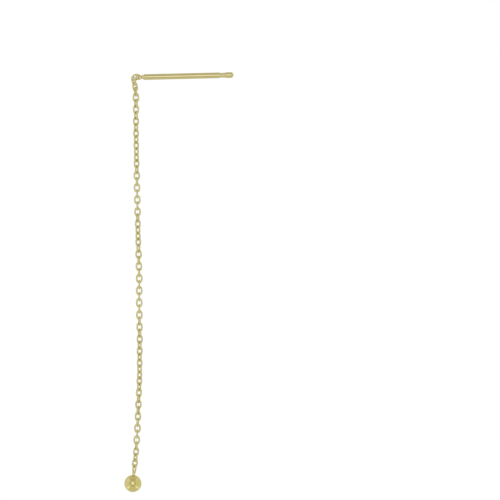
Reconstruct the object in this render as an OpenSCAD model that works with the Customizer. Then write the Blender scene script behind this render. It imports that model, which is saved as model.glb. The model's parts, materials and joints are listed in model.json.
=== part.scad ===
/* [Bar] */
// Diameter of the bar that goes through the ear
bar_d = 1; // [0.8:0.05:1]
// Length of the bar's straight shaft
shaft_len = 13; // [8:0.5:20]
// How far the bar's tip rises, in degrees
bar_rise = 1.35; // [0:0.05:5]
// Length of the turned groove behind the tip
groove_len = 1.15; // [0.8:0.05:2]
// Depth of the groove at its deepest
groove_depth = 0.1; // [0.03:0.01:0.15]
// Length of the rounded tip
tip_len = 1.3; // [0.8:0.05:2]
// Radius of the dome that rounds the tip off
tip_dome_r = 0.58; // [0.52:0.01:0.65]
// Length of the cone between the shaft and its eye
taper_len = 0.4; // [0.35:0.05:0.8]
// Diameter of the cone where it meets the eye
taper_end_d = 0.56; // [0.4:0.02:0.6]
// Outer length of the pear-shaped wire eye soldered to the bar
bar_eye_len = 1.315; // [1.31:0.005:1.32]
// Outer width of that eye at its round end
bar_eye_w = 1.235; // [1.23:0.005:1.24]
// Outer width of that eye at the bar
bar_eye_neck_w = 0.66; // [0.62:0.01:0.68]
// How far that eye is turned about the bar, in degrees from upright
bar_eye_turn = 48; // [47.5:0.5:48.5]
// How far the eye's free end is bent down from the line of the bar, in degrees
bar_eye_fall = 2.5; // [2:0.5:3]

/* [Jump ring] */
// Outer diameter of the loose ring between the bar's eye and the chain
jump_ring_d = 1.65; // [1.645:0.005:1.655]

/* [Chain] */
// Diameter of the wire of the links
wire_d = 0.3; // [0.24:0.01:0.3]
// Outer width of a link
link_w = 1.16; // [1.14:0.01:1.3]
// Distance from link to link where the chain is pulled straight
link_pitch = 1.05; // [1.05:0.01:1.1]
// Room between the wires of two links that hold each other
link_gap = 0.11; // [0.1:0.01:0.15]

/* [Ball drop] */
// Diameter of the ball
ball_d = 3; // [2:0.1:4]
// Diameter of the wire of the ball's eye
drop_eye_wire_d = 0.16; // [0.14:0.01:0.18]
// Diameter of the hole in the ball's eye
drop_eye_hole_d = 0.62; // [0.58:0.01:0.66]
// Height of that hole's middle above the top of the ball
drop_eye_rise = 0.36; // [0.3:0.01:0.38]
// How far that eye is turned about the upright from square to the wire through it, in degrees
drop_eye_turn = 27; // [20:1:32]
// How far the ball leans sideways from plumb, along the wire that it swings on, in degrees
drop_lean = 6.5; // [0:0.5:8]

/* [Hidden] */
$fn = 32;

bar_r = bar_d / 2;
link_len = link_pitch + link_gap + 2 * wire_d;
// The eye's wire sinks into the end of the cone
eye_sink = 0.14;
bar_eye_root = -shaft_len / 2 - taper_len + eye_sink - wire_d / 2;
groove_run_in = 0.2;
groove_end_r = bar_r - groove_depth / 2;
dome_height = tip_dome_r - sqrt(tip_dome_r * tip_dome_r - bar_r * bar_r);

// Where the jump ring lies: along the bar, from front to back, upwards
jump_ring_at = [-8.005, -0.315, -0.215];
jump_ring_lean = 62;
jump_ring_turn = 54;

// The first links lie slack. Columns: place along the bar, from front to back, drop below the bar, lean, turn
slack_chart = [
    [-8.325, -0.015, 0.815, -16.5, -57.5],
    [-8.085, 0.015, 1.815, -8, 39],
    [-7.995, 0, 2.68, -5, -71],
    [-7.935, 0, 3.69, -1, 8]
];
slack_count = len(slack_chart);

// How the chain hangs from there. Columns: link number, drop below the bar, place along the bar
hang_chart = [
    [4, 4.71, -7.93],
    [9, 9.90, -7.91],
    [18, 19.30, -7.75],
    [26, 27.65, -7.56],
    [33, 35.00, -7.36],
    [37, 39.20, -7.37],
    [43, 45.50, -7.28],
    [49, 51.70, -7.30],
    [54, 56.80, -7.50],
    [58, 60.90, -7.67],
    [62, 64.97, -7.91],
    [65, 67.93, -8.21]
];

// How the chain twists. Columns: link number, turn of the chain about its own line
twist_chart = [
    [4, 26], [7, 30], [9, 37], [12, 42], [14, 56], [16, 78],
    [18, 90], [21, 90], [24, 125], [27, 145], [29, 165], [33, 180], [39, 185], [41, 202],
    [48, 220], [50, 235], [53, 250], [56, 252], [58, 270], [60, 272], [62, 302], [65, 302]
];

link_count = hang_chart[len(hang_chart) - 1][0] + 1;
last_link = link_count - 1;

function is_slack(k) = k < slack_count;
function drop_of(k) = lookup(k, [for (row = hang_chart) [row[0], row[1]]]);
function side_of(k) = lookup(k, [for (row = hang_chart) [row[0], row[2]]]);
function slack_place(row) = [row[0], row[1], -row[2]];
function place_of(k) = is_slack(k) ? slack_place(slack_chart[k]) : [side_of(k), 0, -drop_of(k)];

// A hanging link leans along the line from the link above it to the link below it
function hang_lean(k) =
    let (line = place_of(k - 1) - place_of(min(k + 1, last_link)))
    atan2(line.x, line.z);
function lean_of(k) = is_slack(k) ? slack_chart[k][3] : hang_lean(k);

// Each hanging link stands a quarter turn on from the one above it
function turn_of(k) = is_slack(k) ? slack_chart[k][4] : lookup(k, twist_chart) + 90 * (k + 1);

// The ball swings on the wire at the bottom of the last link, in the plane of its own eye.
// That wire bends upwards on both sides, so the eye's middle is a little above the wire's
swing_reach = link_len / 2 - wire_d / 2;
swing_lean = lean_of(last_link);
swing_lift = [0, 0, 0.04];
swing_point = place_of(last_link) - swing_reach * [sin(swing_lean), 0, cos(swing_lean)] + swing_lift;
swing_turn = turn_of(last_link) + drop_eye_turn;
ball_drop_reach = ball_d / 2 + drop_eye_rise;

// A round bend of wire in the XZ plane, its middle at the origin, through sweep degrees from start
module bend(ring_r, thick, start, sweep) {
    rotate([90, 0, 0])
        rotate([0, 0, start])
            rotate_extrude(angle = sweep)
                translate([ring_r, 0])
                    circle(d = thick);
}

// An oval link of round wire, standing in the XZ plane, with straight sides
module oval_link(length, width, thick) {
    ring_r = (width - thick) / 2;
    straight = length - width;
    translate([0, 0, straight / 2])
        bend(ring_r, thick, 0, 180);
    translate([0, 0, -straight / 2])
        bend(ring_r, thick, 180, 180);
    for (side = [-1, 1])
        translate([side * ring_r, 0, -straight / 2])
            cylinder(d = thick, h = straight);
}

// A ring of wire shaped like a pear, standing in the XZ plane: a narrow bend whose wire runs through the
// origin, a wide bend above it and two straight legs between them
module pear_ring(length, width, neck_w, thick) {
    wide_r = (width - thick) / 2;
    narrow_r = (neck_w - thick) / 2;
    reach = length - thick - wide_r - narrow_r;
    flare = asin((wide_r - narrow_r) / reach);
    translate([0, 0, narrow_r]) {
        bend(narrow_r, thick, 180 + flare, 180 - 2 * flare);
        translate([0, 0, reach])
            bend(wide_r, thick, -flare, 180 + 2 * flare);
        for (side = [0, 1])
            mirror([side, 0, 0])
                rotate([0, flare, 0])
                    translate([narrow_r, 0, 0])
                        cylinder(d = thick, h = reach * cos(flare));
    }
}

// The straight shaft and the cone that runs down to the eye
module shaft() {
    translate([0, 0, -shaft_len / 2])
        cylinder(r = bar_r, h = shaft_len);
    translate([0, 0, -shaft_len / 2 - taper_len])
        cylinder(r1 = taper_end_d / 2, r2 = bar_r, h = taper_len);
}

// The groove falls quickly to its deepest and comes up slowly towards the tip
module groove() {
    deepest_r = bar_r - groove_depth;
    translate([0, 0, shaft_len / 2])
        cylinder(r1 = bar_r, r2 = deepest_r, h = groove_run_in);
    translate([0, 0, shaft_len / 2 + groove_run_in])
        cylinder(r1 = deepest_r, r2 = groove_end_r, h = groove_len - groove_run_in);
}

// A short cylinder as thick as the shaft, cut round by a sphere at its end
module tip() {
    tip_start = shaft_len / 2 + groove_len;
    translate([0, 0, tip_start])
        cylinder(r = bar_r, h = tip_len - dome_height);
    translate([0, 0, tip_start + tip_len - dome_height])
        intersection() {
            cylinder(r = bar_r, h = dome_height);
            translate([0, 0, dome_height - tip_dome_r])
                sphere(r = tip_dome_r);
        }
}

// Everything of the bar is one soldered piece, with its middle at the origin
module threader_bar() {
    color("khaki")
        rotate([0, -bar_rise, 0]) {
            rotate([0, 90, 0]) {
                shaft();
                groove();
                tip();
            }
            translate([bar_eye_root, 0, 0])
                rotate([0, -bar_eye_fall - 90, 0])
                    rotate([0, 0, bar_eye_turn])
                        pear_ring(bar_eye_len, bar_eye_w, bar_eye_neck_w, wire_d);
        }
}

// The ring lies slack on the bar's eye, and the first link of the chain holds it below
module jump_ring() {
    color("khaki")
        translate(jump_ring_at)
            rotate([0, jump_ring_lean, 0])
                rotate([0, 0, jump_ring_turn])
                    rotate([90, 0, 0])
                        rotate_extrude()
                            translate([(jump_ring_d - wire_d) / 2, 0])
                                circle(d = wire_d);
}

module chain() {
    color("darkkhaki")
        for (k = [0:last_link])
            translate(place_of(k))
                rotate([0, lean_of(k), 0])
                    rotate([0, 0, turn_of(k)])
                        oval_link(link_len, link_w, wire_d);
}

// The last link's wire runs through the middle of the ball's eye, and the ball leans along that wire
module ball_drop() {
    eye_ring_r = (drop_eye_hole_d + drop_eye_wire_d) / 2;
    color("khaki")
        translate(swing_point)
            rotate([0, 0, swing_turn])
                rotate([0, -drop_lean, 0]) {
                    translate([0, 0, -ball_drop_reach])
                        sphere(d = ball_d);
                    rotate([0, 90, 0])
                        rotate_extrude()
                            translate([eye_ring_r, 0])
                                circle(d = drop_eye_wire_d);
                }
}

threader_bar();
jump_ring();
chain();
ball_drop();
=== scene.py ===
# %% [markdown]
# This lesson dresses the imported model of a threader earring: a straight bar that slips through
# a pierced ear, a jump ring, a fine cable chain and a small polished ball at its end. The packed
# model is loaded as a fixed frame in metres. Every new piece is worked out from it, so each one
# lands where the construction says, and nothing is fitted by eye afterwards.

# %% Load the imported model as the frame
import json
import math

import bpy
import numpy as np
from mathutils import Matrix, Vector


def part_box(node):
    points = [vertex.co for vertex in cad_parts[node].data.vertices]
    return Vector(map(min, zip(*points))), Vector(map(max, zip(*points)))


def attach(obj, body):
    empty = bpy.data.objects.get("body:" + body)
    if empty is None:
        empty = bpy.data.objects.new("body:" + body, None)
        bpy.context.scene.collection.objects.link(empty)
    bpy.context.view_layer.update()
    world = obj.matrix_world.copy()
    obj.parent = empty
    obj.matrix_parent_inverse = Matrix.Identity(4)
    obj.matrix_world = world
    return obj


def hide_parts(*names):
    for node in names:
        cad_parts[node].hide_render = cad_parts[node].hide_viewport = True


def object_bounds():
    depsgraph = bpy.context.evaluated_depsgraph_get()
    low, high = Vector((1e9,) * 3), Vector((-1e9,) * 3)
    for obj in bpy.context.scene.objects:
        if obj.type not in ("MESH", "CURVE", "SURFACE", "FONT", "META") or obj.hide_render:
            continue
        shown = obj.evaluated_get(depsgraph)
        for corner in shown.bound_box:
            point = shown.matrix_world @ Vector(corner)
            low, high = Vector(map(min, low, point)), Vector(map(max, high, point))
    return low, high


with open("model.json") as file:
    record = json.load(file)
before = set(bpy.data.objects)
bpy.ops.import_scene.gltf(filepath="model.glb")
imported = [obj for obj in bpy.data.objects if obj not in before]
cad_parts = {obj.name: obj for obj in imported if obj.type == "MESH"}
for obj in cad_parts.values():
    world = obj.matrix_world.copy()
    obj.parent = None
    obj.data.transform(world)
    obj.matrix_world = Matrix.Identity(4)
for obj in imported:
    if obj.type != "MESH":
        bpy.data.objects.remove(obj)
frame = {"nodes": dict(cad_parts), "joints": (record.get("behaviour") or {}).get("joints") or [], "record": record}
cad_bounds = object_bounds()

MM = 0.001

for node in sorted(frame["nodes"]):
    low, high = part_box(node)
    print(node, "measures", [round((b - a) / MM, 2) for a, b in zip(low, high)], "mm")

# %% [markdown]
# The camera comes first, because the likeness depends on it. The photograph was taken straight
# on, with a long lens, of a field 86.5 mm wide. One of its pixels is 0.173 mm on the earring.
# The middle of the bar is the frame's origin, and its pixel in the photograph tells how far the
# camera has to stand to the side and below.

# %% The camera
PHOTO_PIXELS = 500
PIXEL_SIZE = 0.173 * MM
BAR_MIDDLE_PIXEL = (181.8, 76.2)
LENS = 300
SENSOR = 36

field_width = PHOTO_PIXELS * PIXEL_SIZE
camera_distance = field_width * LENS / SENSOR
camera_x = (PHOTO_PIXELS / 2 - BAR_MIDDLE_PIXEL[0]) * PIXEL_SIZE
camera_z = (BAR_MIDDLE_PIXEL[1] - PHOTO_PIXELS / 2) * PIXEL_SIZE

scene = bpy.context.scene
camera_data = bpy.data.cameras.new("camera")
camera_data.lens = LENS
camera_data.sensor_width = SENSOR
camera_data.clip_start = camera_distance / 20
camera = bpy.data.objects.new("camera", camera_data)
camera.location = (camera_x, -camera_distance, camera_z)
camera.rotation_euler = (math.radians(90), 0, 0)
scene.collection.objects.link(camera)
scene.camera = camera
print("camera", round(camera_distance / MM, 1), "mm in front of the earring")

# %% [markdown]
# Polished gold has almost no colour of its own in a render: it shows its surroundings, tinted.
# So the light matters as much as the metal. The photograph shows a tent of white cloth: the ball
# reflects four quiet sides, brighter seams that run out along the diagonals, and one bright
# patch close to the lens. Each of these is an area light that the camera doesn't see. An area
# light looks equally bright from everywhere when its power is the brightness times pi times
# its area, so each panel is given by the brightness that its reflection should have.
#
# The tent stands a metre away. From there every piece of the earring sees it the same way.

# %% Panels of a light tent
TENT = 1.0
TOP_GLOW_HEIGHT = 0.99 * TENT
TOP_GLOW_TINT = (1.0, 1.0, 0.92)
earring_middle = Vector((0, 0, (cad_bounds[0].z + cad_bounds[1].z) / 2))


def panel(name, start, end, width, brightness, tint=(1, 1, 1)):
    """A flat light from start to end, turned about that line to face the earring."""
    start, end = Vector(start), Vector(end)
    along = (end - start).normalized()
    middle = (start + end) / 2
    facing = middle - earring_middle
    facing = (facing - along * facing.dot(along)).normalized()
    light = bpy.data.lights.new(name, "AREA")
    light.shape = "RECTANGLE"
    light.size = (end - start).length
    light.size_y = width
    light.energy = brightness * math.pi * light.size * light.size_y
    light.color = tint
    lamp = bpy.data.objects.new(name, light)
    turn = Matrix((along, facing.cross(along), facing)).transposed()
    lamp.matrix_world = Matrix.Translation(middle) @ turn.to_4x4()
    lamp.visible_camera = False
    scene.collection.objects.link(lamp)


# Columns: name, brightness, tint, and the side's own direction
sides = [
    ("front_side", 0.53, (1.00, 1.00, 0.95), (0, -1, 0)),
    ("top_side", 0.515, (1.01, 0.99, 0.91), (0, 0, 1)),
    ("bottom_side", 0.66, (1.00, 1.00, 0.90), (0, 0, -1)),
    ("left_side", 0.74, (1.00, 1.03, 1.00), (-1, 0, 0)),
    ("right_side", 0.70, (1.00, 1.05, 0.85), (1, 0, 0)),
    ("back_side", 0.72, (0.98, 1.02, 1.00), (0, 1, 0)),
]
for name, brightness, tint, direction in sides:
    outward = Vector(direction) * TENT
    across = Vector((0, 0, TENT)) if direction[2] == 0 else Vector((0, TENT, 0))
    panel(name, outward - across, outward + across, 2 * TENT, brightness, tint)

# The top is brighter towards the back, where two more sheets hang below it. Columns: name, where
# the sheet starts, brightness
glows = [("wide_top_glow", -0.36, 0.09), ("rear_top_glow", 0.03, 0.08)]
for name, start, brightness in glows:
    front_edge, back_edge = (Vector((0, y * TENT, TOP_GLOW_HEIGHT)) for y in (start, 1))
    panel(name, front_edge, back_edge, 2 * TENT, brightness, TOP_GLOW_TINT)
print(len(sides), "sides of the tent")

# %% The bright patch and the seams
# The patch and the seams hang a little inside the sides, so that they show in front of them
PATCH_AWAY = 0.98 * TENT
SEAM_AWAY = 0.97 * TENT
PATCH_HEIGHT = 0.10
PATCH_SIZE = 0.66
PATCH_BRIGHTNESS = 0.32
FRONT_SEAM_WIDTH = 0.16
SEAM_BACK = 0.7

# Columns: rise, width of the side seam, brightness
seams = [(-1, 0.34, 0.32), (1, 0.20, 0.20)]

patch = Vector((0, -PATCH_AWAY, PATCH_HEIGHT))
half_patch = Vector((PATCH_SIZE / 2, 0, PATCH_SIZE / 2)) / math.sqrt(2)
panel("bright_patch", patch - half_patch, patch + half_patch, PATCH_SIZE, PATCH_BRIGHTNESS)
for side in (-1, 1):
    for rise, width, brightness in seams:
        corner = Vector((side, -1, rise)) * SEAM_AWAY
        rear = Vector((side, SEAM_BACK, rise)) * SEAM_AWAY
        name = ("left" if side < 0 else "right") + ("_low" if rise < 0 else "_high")
        panel(name + "_front_seam", patch, corner, FRONT_SEAM_WIDTH, brightness)
        panel(name + "_side_seam", corner, rear, width, brightness)

# %% [markdown]
# The background of the photograph is plain white. The world gives that to the camera and to the
# floor, but the gold doesn't mirror it, because the tent stands in between. The floor is a pale
# sheet below the ball. It is left out of the gold's reflections too, where the tent's own bottom
# shows instead.

# %% White world and pale floor
FLOOR_DROP = 0.028
FLOOR_HALF = 0.8
FLOOR_COLOUR = (0.61, 0.61, 0.62, 1)

world = bpy.data.worlds.new("white_room")
world.use_nodes = True
world.node_tree.nodes["Background"].inputs["Color"].default_value = (1, 1, 1, 1)
scene.world = world
world.cycles_visibility.glossy = False
scene.view_settings.view_transform = "Standard"

floor_height = cad_bounds[0].z - FLOOR_DROP
floor_mesh = bpy.data.meshes.new("pale_floor")
floor_corners = [(x * FLOOR_HALF, y * FLOOR_HALF, floor_height)
                 for x, y in ((-1, -1), (1, -1), (1, 1), (-1, 1))]
floor_mesh.from_pydata(floor_corners, [], [(0, 1, 2, 3)])
floor = bpy.data.objects.new("pale_floor", floor_mesh)
floor.visible_glossy = False
floor.visible_shadow = False
scene.collection.objects.link(floor)
print("floor", round(floor_height / MM, 1), "mm below the bar")

# %% [markdown]
# A shape here is a grid of points, computed in one go as a numpy array. Two helpers turn grids
# into meshes. The first numbers the four corners of every cell of the grid, for one or many
# copies at once. The second makes the object and checks its own work: it adds up the volume
# that the faces enclose, and turns all of them round if that comes out negative.

# %% Grids into meshes
def grid_faces(copies, rows, columns):
    """Corner numbers of the cells of grids that close on themselves in both directions."""
    copy, row, column = np.ogrid[:copies, :rows, :columns]
    next_row, next_column = (row + 1) % rows, (column + 1) % columns
    start = copy * rows * columns
    corners = [
        start + row * columns + column,
        start + next_row * columns + column,
        start + next_row * columns + next_column,
        start + row * columns + next_column,
    ]
    return np.stack(np.broadcast_arrays(*corners), -1).reshape(-1, 4)


def enclosed_volume(points, faces):
    """Sum over the faces, cut into triangles, of a dot (b cross c) / 6."""
    total = 0.0
    for second in range(1, faces.shape[1] - 1):
        a, b, c = (points[faces[:, k]] for k in (0, second, second + 1))
        total += np.einsum("ij,ij->", a, np.cross(b, c)) / 6
    return total


def mesh_object(name, points, *face_sets):
    """An object at the origin from points in metres and arrays of faces, facing outwards."""
    points = np.asarray(points, float).reshape(-1, 3)
    volume = sum(enclosed_volume(points, faces) for faces in face_sets)
    if volume < 0:
        face_sets = [faces[:, ::-1] for faces in face_sets]
    mesh = bpy.data.meshes.new(name)
    mesh.from_pydata(points.tolist(), [], [f for faces in face_sets for f in faces.tolist()])
    mesh.shade_smooth()
    made = bpy.data.objects.new(name, mesh)
    scene.collection.objects.link(made)
    print(name, "has", len(mesh.polygons), "faces and", round(abs(volume) / MM**3, 2), "cubic mm")
    return made


# %% [markdown]
# Wire is a round section carried along a path. All the wire on this earring is bent flat: ovals
# for the links, circles for the rings and a pear for the bar's eye. On a flat line one side of
# the section points outwards in the plane and the other straight out of it.
#
# A link starts as a cut piece of wire, and its two ends are soldered. That leaves a slight
# swelling on one of its long sides, which is what tells a real chain from a drawn one close up.

# %% Bends of wire
def oval_line(count, half_across, half_along, fullness):
    """Centre line of an oval, as points (across, along) at equal turns of the angle.

    The distance from the middle is (|cos/half_across|^n + |sin/half_along|^n)^(-1/n), where n is
    the fullness: 2 is an ellipse, and more than 2 has straighter sides."""
    angle = np.arange(count) * 2 * math.pi / count
    across, along = np.cos(angle), np.sin(angle)
    terms = np.abs(across / half_across) ** fullness + np.abs(along / half_along) ** fullness
    return np.stack([across, along], -1) * terms[:, None] ** (-1 / fullness)


def pear_line(bend_count, narrow_radius, wide_radius, reach):
    """Centre line of a pear, as points (across, along), with the narrow bend's middle at (0, 0).

    The wide bend's middle is at (0, reach). The legs between the bends touch both, so they flare
    out by the angle whose sine is (wide_radius - narrow_radius) / reach. On either bend a point
    is middle + radius * (cos, sin) of its angle, and the legs need no points of their own."""
    flare = math.asin((wide_radius - narrow_radius) / reach)
    on_wide = np.linspace(-flare, math.pi + flare, bend_count)
    on_narrow = np.linspace(math.pi + flare, 2 * math.pi - flare, bend_count)
    wide_bend = wide_radius * np.stack([np.cos(on_wide), np.sin(on_wide)], -1) + (0, reach)
    narrow_bend = narrow_radius * np.stack([np.cos(on_narrow), np.sin(on_narrow)], -1)
    return np.concatenate([wide_bend, narrow_bend])


def round_wire(line, wire_radius, sides):
    """Points of a tube round a flat closed line, in (across, out of plane, along).

    A point is line + radius * (cos turn * outward + sin turn * out of plane), and outward is the
    line's own direction turned by a quarter."""
    ahead = np.roll(line, -1, 0) - np.roll(line, 1, 0)
    ahead /= np.linalg.norm(ahead, axis=1, keepdims=True)
    outward = np.stack([ahead[:, 1], -ahead[:, 0]], -1)
    turn = np.arange(sides) * 2 * math.pi / sides
    radius = np.broadcast_to(wire_radius, len(line))[:, None, None]
    in_plane = line[:, None] + radius * np.cos(turn)[None, :, None] * outward[:, None]
    out_of_plane = radius[..., 0] * np.sin(turn)
    return np.stack([in_plane[..., 0], out_of_plane, in_plane[..., 1]], -1)


def solder_swell(line, side, amount, spread):
    """How much thicker the wire is round its joint: 1 + amount * exp(-(distance / spread)^2)."""
    distance = np.linalg.norm(line - np.asarray(side), axis=1)
    return 1 + amount * np.exp(-((distance / spread) ** 2))


# %% [markdown]
# The chain's node holds 66 loose links, and each of them tells where it sits and how it is
# turned. Its mesh is split into loose solids first: every corner takes the lowest number among
# the corners that it shares a triangle with, again and again, until nothing changes. Then the
# spread of each solid's surface gives its three axes. A link spreads furthest along its length,
# less across, and least through its thickness.

# %% Find the links in the frame
# Corners this near to each other count as one
SAME_PLACE = 1e-7


def loose_solids(node):
    """(corner points of each triangle, number of the solid that each triangle belongs to)."""
    mesh = frame["nodes"][node].data
    points = np.empty(len(mesh.vertices) * 3, np.float32)
    mesh.vertices.foreach_get("co", points)
    points = points.reshape(-1, 3).astype(float)
    mesh.calc_loop_triangles()
    triangles = np.empty(len(mesh.loop_triangles) * 3, np.int32)
    mesh.loop_triangles.foreach_get("vertices", triangles)
    rounded = np.round(points / SAME_PLACE).astype(np.int64)
    shared = np.unique(rounded, axis=0, return_inverse=True)[1].reshape(-1)
    joined = shared[triangles].reshape(-1, 3)
    label = np.arange(joined.max() + 1)
    while True:
        lowest = label[joined].min(1)
        before = label.copy()
        for corner in range(3):
            np.minimum.at(label, joined[:, corner], lowest)
        label = label[label]
        if np.array_equal(before, label):
            break
    solid = np.unique(label[joined[:, 0]], return_inverse=True)[1].reshape(-1)
    return points[triangles].reshape(-1, 3, 3), solid


def solid_axes(corners, solid):
    """Middle of each solid's surface and its axes: rows across, out of plane and along."""
    first_side, second_side = corners[:, 1] - corners[:, 0], corners[:, 2] - corners[:, 0]
    area = np.linalg.norm(np.cross(first_side, second_side), axis=1)
    count = solid.max() + 1
    centroid = corners.mean(1)
    middle = np.zeros((count, 3))
    np.add.at(middle, solid, centroid * area[:, None])
    middle /= np.bincount(solid, area, count)[:, None]
    away = centroid - middle[solid]
    spread = np.zeros((count, 3, 3))
    np.add.at(spread, solid, away[:, :, None] * away[:, None, :] * area[:, None, None])
    through, across, along = np.moveaxis(np.linalg.eigh(spread)[1], 2, 0)
    along = along * np.sign(along[:, 2:])
    through = np.cross(along, across)
    order = np.argsort(-middle[:, 2])
    return middle[order], np.stack([across, through, along], 1)[order]


link_corners, link_of_corner = loose_solids("chain")
link_middle, link_axes = solid_axes(link_corners, link_of_corner)
link_steps = np.linalg.norm(np.diff(link_middle, axis=0), axis=1)
print(len(link_middle), "links, from", round(link_steps.min() / MM, 3), "to",
      round(link_steps.max() / MM, 3), "mm apart")

# %% [markdown]
# The frame's links keep a tenth of a millimetre between their wires, so that each one is a solid
# of its own. Real links hang on each other. Each one here keeps its place, its width and its
# wire, and gets the length at which the furthest apart all but touch: the longest step between
# two middles, a wire at either end and a hair of air. Only the first few lie slack, and they keep
# the frame's length.

# %% The chain
LINK_SIDES = 16
LINK_STATIONS = 48
LINK_FULLNESS = 2.35
LINK_SWELL = 0.08
LINK_SWELL_SPREAD = 0.16 * MM
SLACK_LINKS = 4
LINK_AIR = 0.02 * MM
JOINT_SEED = 7

first_link = link_corners[link_of_corner == link_of_corner[0]].reshape(-1, 3)
near = np.abs(link_middle - first_link.mean(0)).sum(1).argmin()
in_link = (first_link - link_middle[near]) @ link_axes[near].T
link_width, wire, frame_length = np.ptp(in_link, axis=0)
link_length = link_steps.max() + 2 * wire + LINK_AIR
print("wire", round(wire / MM, 3), "mm, link", round(link_width / MM, 3), "by",
      round(link_length / MM, 3), "mm, in the frame", round(frame_length / MM, 3), "mm")


def shaped_link(length):
    """A link of this length, upright, with its joint on one side."""
    half_width = (link_width - wire) / 2
    line = oval_line(LINK_STATIONS, half_width, (length - wire) / 2, LINK_FULLNESS)
    radius = wire / 2 * solder_swell(line, (half_width, 0), LINK_SWELL, LINK_SWELL_SPREAD)
    return round_wire(line, radius, LINK_SIDES)


is_slack = (np.arange(len(link_middle)) < SLACK_LINKS)[:, None, None, None]
link_shapes = np.where(is_slack, shaped_link(frame_length), shaped_link(link_length))

# The joint shows on one side of a link or the other, as the chain maker's tool left it
chance = np.random.default_rng(JOINT_SEED)
joint_turn = np.where(chance.random(len(link_middle)) < 0.5, -1.0, 1.0)
axis_signs = np.stack([joint_turn, joint_turn, np.ones_like(joint_turn)], 1)
turned_axes = link_axes * axis_signs[:, :, None]
chain_points = link_middle[:, None, None] + np.einsum("nrsa,nab->nrsb", link_shapes, turned_axes)
chain_faces = grid_faces(len(link_middle), LINK_STATIONS, LINK_SIDES)
cable_chain = mesh_object("cable_chain", chain_points, chain_faces)

# %% [markdown]
# The bar is a turned part, so it is described the way a lathe sees it: a line of corners with a
# place along the bar and a radius. No edge on polished gold is perfectly sharp. Each corner is
# therefore rounded off, and the length that the rounding takes is written beside it. The line is
# then spun about the bar's own axis, which the frame's mount gives.

# %% A turned profile
def rounded_profile(corners, steps):
    """The line through corners, rows of (place, radius, rounding), with each corner rounded.

    On the rounding a point is (1-u)^2 * start + 2u(1-u) * corner + u^2 * end, where start and end
    lie on the line, the rounding's length before and after the corner."""
    corners = np.asarray(corners, float)
    point, rounding = corners[:, :2], corners[1:-1, 2:]
    step = np.diff(point, axis=0)
    direction = step / np.linalg.norm(step, axis=1, keepdims=True)
    start = point[1:-1] - direction[:-1] * rounding
    end = point[1:-1] + direction[1:] * rounding
    u = np.linspace(0, 1, steps)[:, None, None]
    curve = (1 - u) ** 2 * start + 2 * u * (1 - u) * point[1:-1] + u**2 * end
    curve = np.moveaxis(curve, 0, 1).reshape(-1, 2)
    return np.concatenate([point[:1], curve, point[-1:]])


def turned_solid(name, profile, sides, origin, axis):
    """Spins a profile of (place, radius) about an axis. Its two ends lie on the axis.

    A point is origin + place * axis + radius * (cos turn * up + sin turn * sideways)."""
    axis = np.asarray(axis, float) / np.linalg.norm(axis)
    helper = np.eye(3)[np.abs(axis).argmin()]
    sideways = np.cross(axis, helper)
    sideways /= np.linalg.norm(sideways)
    up = np.cross(sideways, axis)
    turn = np.arange(sides) * 2 * math.pi / sides
    spoke = np.cos(turn)[:, None] * up + np.sin(turn)[:, None] * sideways
    rings = profile[1:-1, 0, None, None] * axis + profile[1:-1, 1, None, None] * spoke
    ends = profile[[0, -1], 0, None] * axis
    points = np.concatenate([rings.reshape(-1, 3), ends]) + np.asarray(origin)
    count = len(profile) - 2
    quads = grid_faces(1, count, sides)[: (count - 1) * sides]
    here = np.arange(sides)
    ahead = (here + 1) % sides
    last = (count - 1) * sides
    first_cap = np.stack([ahead, here, np.full(sides, count * sides)], 1)
    last_cap = np.stack([last + here, last + ahead, np.full(sides, count * sides + 1)], 1)
    return mesh_object(name, points, quads, np.concatenate([first_cap, last_cap]))


# %% [markdown]
# Soldered metal is one solid, so parts that are soldered together are united with an exact
# Boolean, and the result is kept as a plain mesh. The seam between them stays crisp, as a neat
# joint does, because edges sharper than a set angle aren't shaded smooth.

# %% Solder parts together
def soldered(name, parts, sharp_degrees=40):
    """One closed mesh at the origin from overlapping closed parts, which are removed.

    The exact solver works best near unit size and on triangles, so the union is made with a
    millimetre as unit, from faces that are all cut into triangles first."""
    for part in parts:
        part.data.transform(Matrix.Scale(1 / MM, 4))
        part.modifiers.new("triangles", "TRIANGULATE")
    whole = parts[0]
    for part in parts[1:]:
        union = whole.modifiers.new("solder", "BOOLEAN")
        union.operation = "UNION"
        union.solver = "EXACT"
        union.object = part
    bpy.context.view_layer.update()
    seen = whole.evaluated_get(bpy.context.evaluated_depsgraph_get())
    mesh = bpy.data.meshes.new_from_object(seen)
    mesh.transform(Matrix.Scale(MM, 4))
    mesh.name = name
    for part in parts:
        bpy.data.objects.remove(part)
    mesh.shade_smooth()
    mesh.set_sharp_from_angle(angle=math.radians(sharp_degrees))
    made = bpy.data.objects.new(name, mesh)
    scene.collection.objects.link(made)
    uses = np.zeros(len(mesh.edges), int)
    edge_of = np.empty(len(mesh.loops), np.int32)
    mesh.loops.foreach_get("edge_index", edge_of)
    np.add.at(uses, edge_of, 1)
    print(name, "has", len(mesh.polygons), "faces and", int((uses != 2).sum()), "open edges")
    return made


# %% [markdown]
# The shaft ends in a short cone, and the cone's neck is soldered to an eye of wire. The eye is
# bent like a pear, with its narrow end at the neck. It is turned about the bar and bent down a
# little, by the angles in the source. Its length, width and wire are measured in the frame, from
# the triangles beyond the cone. At the other end a groove runs round the bar behind a rounded
# tip. It falls quickly and comes up slowly, as a catch for a stopper would.

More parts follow.
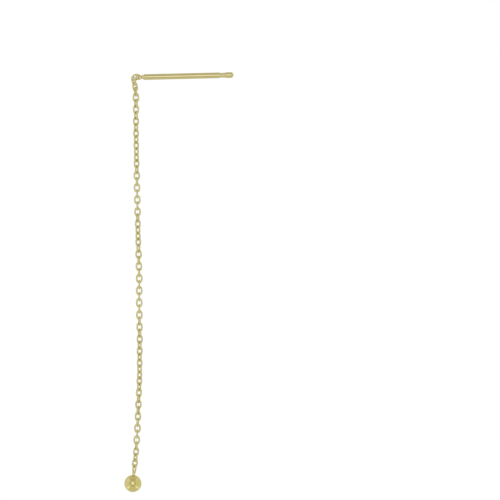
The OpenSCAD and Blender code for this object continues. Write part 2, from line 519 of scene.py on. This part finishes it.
# %% The bar
BAR_SIDES = 64
EYE_SIDES = 20
EYE_BEND_STATIONS = 36
NECK_RADIUS = 0.28 * MM
CONE_LENGTH = 0.40 * MM
STUB_RADIUS = 0.16 * MM
STUB_LENGTH = 0.10 * MM
EYE_SINK = 0.14 * MM
EYE_NARROW_RADIUS = 0.18 * MM
EYE_TURN = math.radians(48)
EYE_FALL = math.radians(2.5)
GROOVE_DEPTH = 0.10 * MM
GROOVE_RUN_IN = 0.20 * MM
GROOVE_LENGTH = 1.15 * MM
TIP_FLAT_RADIUS = 0.28 * MM
TIP_SLOPE_LENGTH = 0.28 * MM

mounts = {mount["name"]: mount for mount in frame["record"]["mounts"]}
bar_mount = mounts["bar_shaft"]
bar_axis = np.array(bar_mount["axis"])
bar_middle = np.array(bar_mount["pos_m"])
bar_radius = bar_mount["dims"]["r_mm"] * MM
shaft_end = bar_mount["dims"]["length_mm"] * MM / 2

# Where the bar's own mesh ends, and how its eye lies
bar_triangles = loose_solids("threader_bar")[0]
bar_places = (bar_triangles - bar_middle) @ bar_axis
tip_end = bar_places.max()
cone_end = -shaft_end - CONE_LENGTH
eye_triangles = bar_triangles[bar_places.max(1) < cone_end - CONE_LENGTH / 2]
bar_side = np.array((0.0, 1.0, 0.0))
bar_up = np.cross(bar_axis, bar_side)
eye_up = math.cos(EYE_FALL) * bar_up - math.sin(EYE_FALL) * bar_axis
eye_along = -math.cos(EYE_FALL) * bar_axis - math.sin(EYE_FALL) * bar_up
eye_across = math.sin(EYE_TURN) * bar_side + math.cos(EYE_TURN) * eye_up
eye_frame = np.stack([eye_across, np.cross(eye_along, eye_across), eye_along])
in_eye = (eye_triangles.reshape(-1, 3) - bar_middle) @ eye_frame.T
eye_width, eye_wire = np.ptp(in_eye[:, :2], axis=0)
eye_root = bar_middle + bar_axis * (cone_end + EYE_SINK - eye_wire / 2)
eye_length = (in_eye[:, 2] - (eye_root - bar_middle) @ eye_along).max() + eye_wire / 2
print("eye", round(eye_length / MM, 3), "by", round(eye_width / MM, 3), "mm,",
      "wire", round(eye_wire / MM, 3), "mm")

groove_end = shaft_end + GROOVE_LENGTH
stub_end = cone_end - STUB_LENGTH
# Columns: place along the bar, radius, rounding
bar_profile = rounded_profile([
    (stub_end, 0, 0),
    (stub_end, STUB_RADIUS, 0.04 * MM),
    (cone_end, NECK_RADIUS, 0.06 * MM),
    (-shaft_end, bar_radius, 0.08 * MM),
    (shaft_end, bar_radius, 0.04 * MM),
    (shaft_end + GROOVE_RUN_IN, bar_radius - GROOVE_DEPTH, 0.10 * MM),
    (groove_end - 0.05 * MM, bar_radius - GROOVE_DEPTH / 2, 0.03 * MM),
    (groove_end + 0.02 * MM, bar_radius, 0.03 * MM),
    (tip_end - TIP_SLOPE_LENGTH, bar_radius, 0.16 * MM),
    (tip_end, TIP_FLAT_RADIUS, 0.18 * MM),
    (tip_end, 0, 0),
], 7)
turned_bar = turned_solid("turned_bar", bar_profile, BAR_SIDES, bar_middle, bar_axis)

eye_wide_radius = (eye_width - eye_wire) / 2
eye_reach = eye_length - eye_wire - eye_wide_radius - EYE_NARROW_RADIUS
eye_line = pear_line(EYE_BEND_STATIONS, EYE_NARROW_RADIUS, eye_wide_radius, eye_reach)
eye_tube = round_wire(eye_line, eye_wire / 2, EYE_SIDES)
eye_bend = eye_root + eye_along * EYE_NARROW_RADIUS
eye_ring = mesh_object("eye_ring", eye_bend + eye_tube @ eye_frame,
                       grid_faces(1, len(eye_line), EYE_SIDES))
gold_bar = soldered("gold_bar", [turned_bar, eye_ring])

# %% [markdown]
# The jump ring is a round ring that a jeweller twists open, threads through the bar's eye and the
# first link, and twists shut. Its two cut ends only meet, and a fine groove stays between them.
# Its place, its width and its wire come from the frame. The direction in which its surface
# spreads least is the one straight through it.

# %% The jump ring
JUMP_SIDES = 16
JUMP_STATIONS = 160
CUT_DEPTH = 0.45
CUT_SPREAD = 0.022 * MM
CUT_TURN = 0.35

jump_triangles, jump_solid = loose_solids("jump_ring")
jump_middle, jump_axes = solid_axes(jump_triangles, jump_solid)
jump_frame = jump_axes[0]
in_jump = (jump_triangles.reshape(-1, 3) - jump_middle[0]) @ jump_frame.T
jump_width, jump_wire = np.ptp(in_jump[:, 0]), np.ptp(in_jump[:, 1])
jump_radius = (jump_width - jump_wire) / 2
jump_line = oval_line(JUMP_STATIONS, jump_radius, jump_radius, 2.0)
cut_place = jump_line[round(CUT_TURN * JUMP_STATIONS)]
jump_cut = solder_swell(jump_line, cut_place, -CUT_DEPTH, CUT_SPREAD)
jump_tube = round_wire(jump_line, jump_wire / 2 * jump_cut, JUMP_SIDES)
gold_ring = mesh_object("gold_ring", jump_middle[0] + jump_tube @ jump_frame,
                        grid_faces(1, JUMP_STATIONS, JUMP_SIDES))

# %% [markdown]
# The ball is a mirror-polished bead on a small ring of wire. A plain sphere would meet the ring
# in a hard line. The jeweller's solder leaves a low mound there, so the sphere's radius rises
# by a little bell curve there. The ball leans a little on the last link, and the line from its
# middle to the middle of its ring says which way it points.

# %% The ball
BALL_SIDES = 96
BALL_STATIONS = 97
MOUND_HEIGHT = 0.08 * MM
MOUND_SPREAD = 0.12
RING_SIDES = 20
RING_STATIONS = 50
RING_WIRE = 0.16 * MM
RING_RADIUS = 0.39 * MM

ball_low, ball_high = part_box("ball_drop")
ball_radius = (ball_high.x - ball_low.x) / 2
ball_centre = np.array([(ball_low.x + ball_high.x) / 2, (ball_low.y + ball_high.y) / 2,
                        ball_low.z + ball_radius])
hinge = next(joint for joint in frame["joints"] if joint["name"] == "ball_swing")
ring_middle, ring_axis = np.array(hinge["pos_m"]), np.array(hinge["axis"])

ball_up = ring_middle - ball_centre
ball_up /= np.linalg.norm(ball_up)

from_top = np.linspace(0, math.pi, BALL_STATIONS)
ball_line = ball_radius + MOUND_HEIGHT * np.exp(-((from_top / MOUND_SPREAD) ** 2))
ball_profile = np.stack([ball_line * np.cos(from_top), ball_line * np.sin(from_top)], 1)
bead = turned_solid("bead", ball_profile, BALL_SIDES, ball_centre, ball_up)

ring_line = oval_line(RING_STATIONS, RING_RADIUS, RING_RADIUS, 2.0)
ring_tube = round_wire(ring_line, RING_WIRE / 2, RING_SIDES)
ring_frame = np.stack([np.cross(ring_axis, ball_up), ring_axis, ball_up])
ball_ring = mesh_object("ball_ring", ring_middle + ring_tube @ ring_frame,
                        grid_faces(1, RING_STATIONS, RING_SIDES))
gold_ball = soldered("gold_ball", [bead, ball_ring])

# %% [markdown]
# Shader maths reads better as sums than as boxes and wires. A Socket wraps one output of a node,
# and its operators add the Math nodes. The Graph makes any other node: its settings first,
# then a number, a colour or another socket for each of its inputs.

# %% Shader nodes as expressions
class Socket:
    """One output of a node. Sums, differences and products of it are new Sockets."""

    def __init__(self, graph, output):
        self.graph = graph
        self.output = output

    def math(self, operation, first, second):
        return self.graph.node("ShaderNodeMath", {"operation": operation}, {0: first, 1: second})

    def __add__(self, other):
        return self.math("ADD", self, other)

    __radd__ = __add__

    def __sub__(self, other):
        return self.math("SUBTRACT", self, other)

    def __mul__(self, other):
        return self.math("MULTIPLY", self, other)

    __rmul__ = __mul__


class Graph:
    """The node tree of one material."""

    def __init__(self, name):
        self.material = bpy.data.materials.new(name)
        self.material.use_nodes = True
        self.tree = self.material.node_tree
        self.tree.nodes.clear()

    def finish(self, surface):
        """The material, with surface as what it shows."""
        end = self.tree.nodes.new("ShaderNodeOutputMaterial")
        self.tree.links.new(surface.output, end.inputs["Surface"])
        return self.material

    def node(self, kind, settings, inputs, output=0):
        """Adds a node, sets it up, feeds its inputs and returns one of its outputs."""
        made = self.tree.nodes.new(kind)
        for key, value in settings.items():
            setattr(made, key, value)
        for key, value in inputs.items():
            if isinstance(value, Socket):
                self.tree.links.new(value.output, made.inputs[key])
            else:
                made.inputs[key].default_value = value
        return Socket(self, made.outputs[output])

    def blend(self, factor, first, second):
        """The first colour at factor 0, and the second at factor 1."""
        settings = {"data_type": "RGBA", "clamp_factor": True}
        return self.node("ShaderNodeMix", settings, {0: factor, 6: first, 7: second}, 2)

    def noise(self, place, scale, detail=2.0):
        inputs = {"Vector": place, "Scale": scale, "Detail": detail}
        return self.node("ShaderNodeTexNoise", {"noise_dimensions": "3D"}, inputs)


# %% [markdown]
# Pale yellow gold is one alloy on every piece, but they are finished in their own ways. The
# ball is polished like a mirror. The bar is polished along its length, which leaves the finest
# of lines. The chain is drawn wire, tumbled bright. The function below takes the pattern of its
# marks as a stretched noise: marks that run along a direction are long that way and narrow
# across. The marks change the roughness and the bump a little, and a broad soft noise changes
# the colour from place to place, as an alloy and its polish do.

# %% Gold
CLOUDS_PER_METRE = 700.0
GRAINS_PER_METRE = 4200.0


def gold(name, bright, deep, roughness, uneven, mark_scale, mark_turn, mark_depth):
    """A polished gold. Colours are linear. Marks are noise at mark_scale marks per metre on each
    axis, after a turn of mark_turn radians about Y."""
    graph = Graph(name)
    place = graph.node("ShaderNodeTexCoord", {}, {}, "Object")
    stretched = graph.node("ShaderNodeMapping", {"vector_type": "TEXTURE"},
                           {"Vector": place, "Rotation": (0, mark_turn, 0),
                            "Scale": tuple(1 / s for s in mark_scale)})
    marks = graph.noise(stretched, 1.0, 3.0)
    clouds = graph.noise(place, CLOUDS_PER_METRE, 2.0)
    grain = graph.noise(place, GRAINS_PER_METRE, 3.0)
    colour = graph.blend(clouds * 1.6 - 0.3, bright, deep)
    rough = roughness + uneven * (marks - 0.5) + uneven * 0.6 * (grain - 0.5)
    height = marks * 0.7 + grain * 0.3
    bump = graph.node("ShaderNodeBump", {},
                      {"Strength": 1.0, "Distance": mark_depth, "Height": height})
    surface = graph.node("ShaderNodeBsdfPrincipled", {},
                         {"Base Color": colour, "Metallic": 1.0, "Roughness": rough,
                          "Normal": bump})
    return graph.finish(surface)


bar_rise = math.atan2(bar_axis[2], bar_axis[0])
bar_finish = gold("lengthwise_polish", (0.82, 0.725, 0.39, 1), (0.78, 0.675, 0.33, 1),
                  roughness=0.09, uneven=0.04, mark_scale=(900, 60000, 60000),
                  mark_turn=bar_rise, mark_depth=0.0001 * MM)
chain_finish = gold("drawn_wire", (0.81, 0.74, 0.40, 1), (0.76, 0.67, 0.33, 1),
                    roughness=0.20, uneven=0.12, mark_scale=(9000, 9000, 9000),
                    mark_turn=0, mark_depth=0.0006 * MM)
ball_finish = gold("mirror_polish", (0.84, 0.73, 0.32, 1), (0.81, 0.69, 0.28, 1),
                   roughness=0.05, uneven=0.05, mark_scale=(3000, 3000, 3000),
                   mark_turn=0, mark_depth=0.0001 * MM)
print("materials", [material.name for material in bpy.data.materials])

# %% [markdown]
# Each piece gets its finish and is tied to the body in the frame that it moves with, and the node
# that it stands for is hidden. The bar and the chain stay with the ear, and the ball swings from
# the last link.

# %% Tie the pieces to the frame
# Columns: piece, finish, body, node that it stands for, slot
dressing = [
    (gold_bar, bar_finish, "hanger", "threader_bar", "bar_gold"),
    (gold_ring, chain_finish, "hanger", "jump_ring", "ring_gold"),
    (cable_chain, chain_finish, "hanger", "chain", "chain_gold"),
    (gold_ball, ball_finish, "drop", "ball_drop", "ball_gold"),
]
for piece, finish, body, node, slot in dressing:
    piece.data.materials.clear()
    piece.data.materials.append(finish)
    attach(piece, body)
    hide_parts(node)

floor_graph = Graph("pale_floor")
floor_surface = floor_graph.node("ShaderNodeBsdfDiffuse", {}, {"Color": FLOOR_COLOUR})
floor_mesh.materials.append(floor_graph.finish(floor_surface))
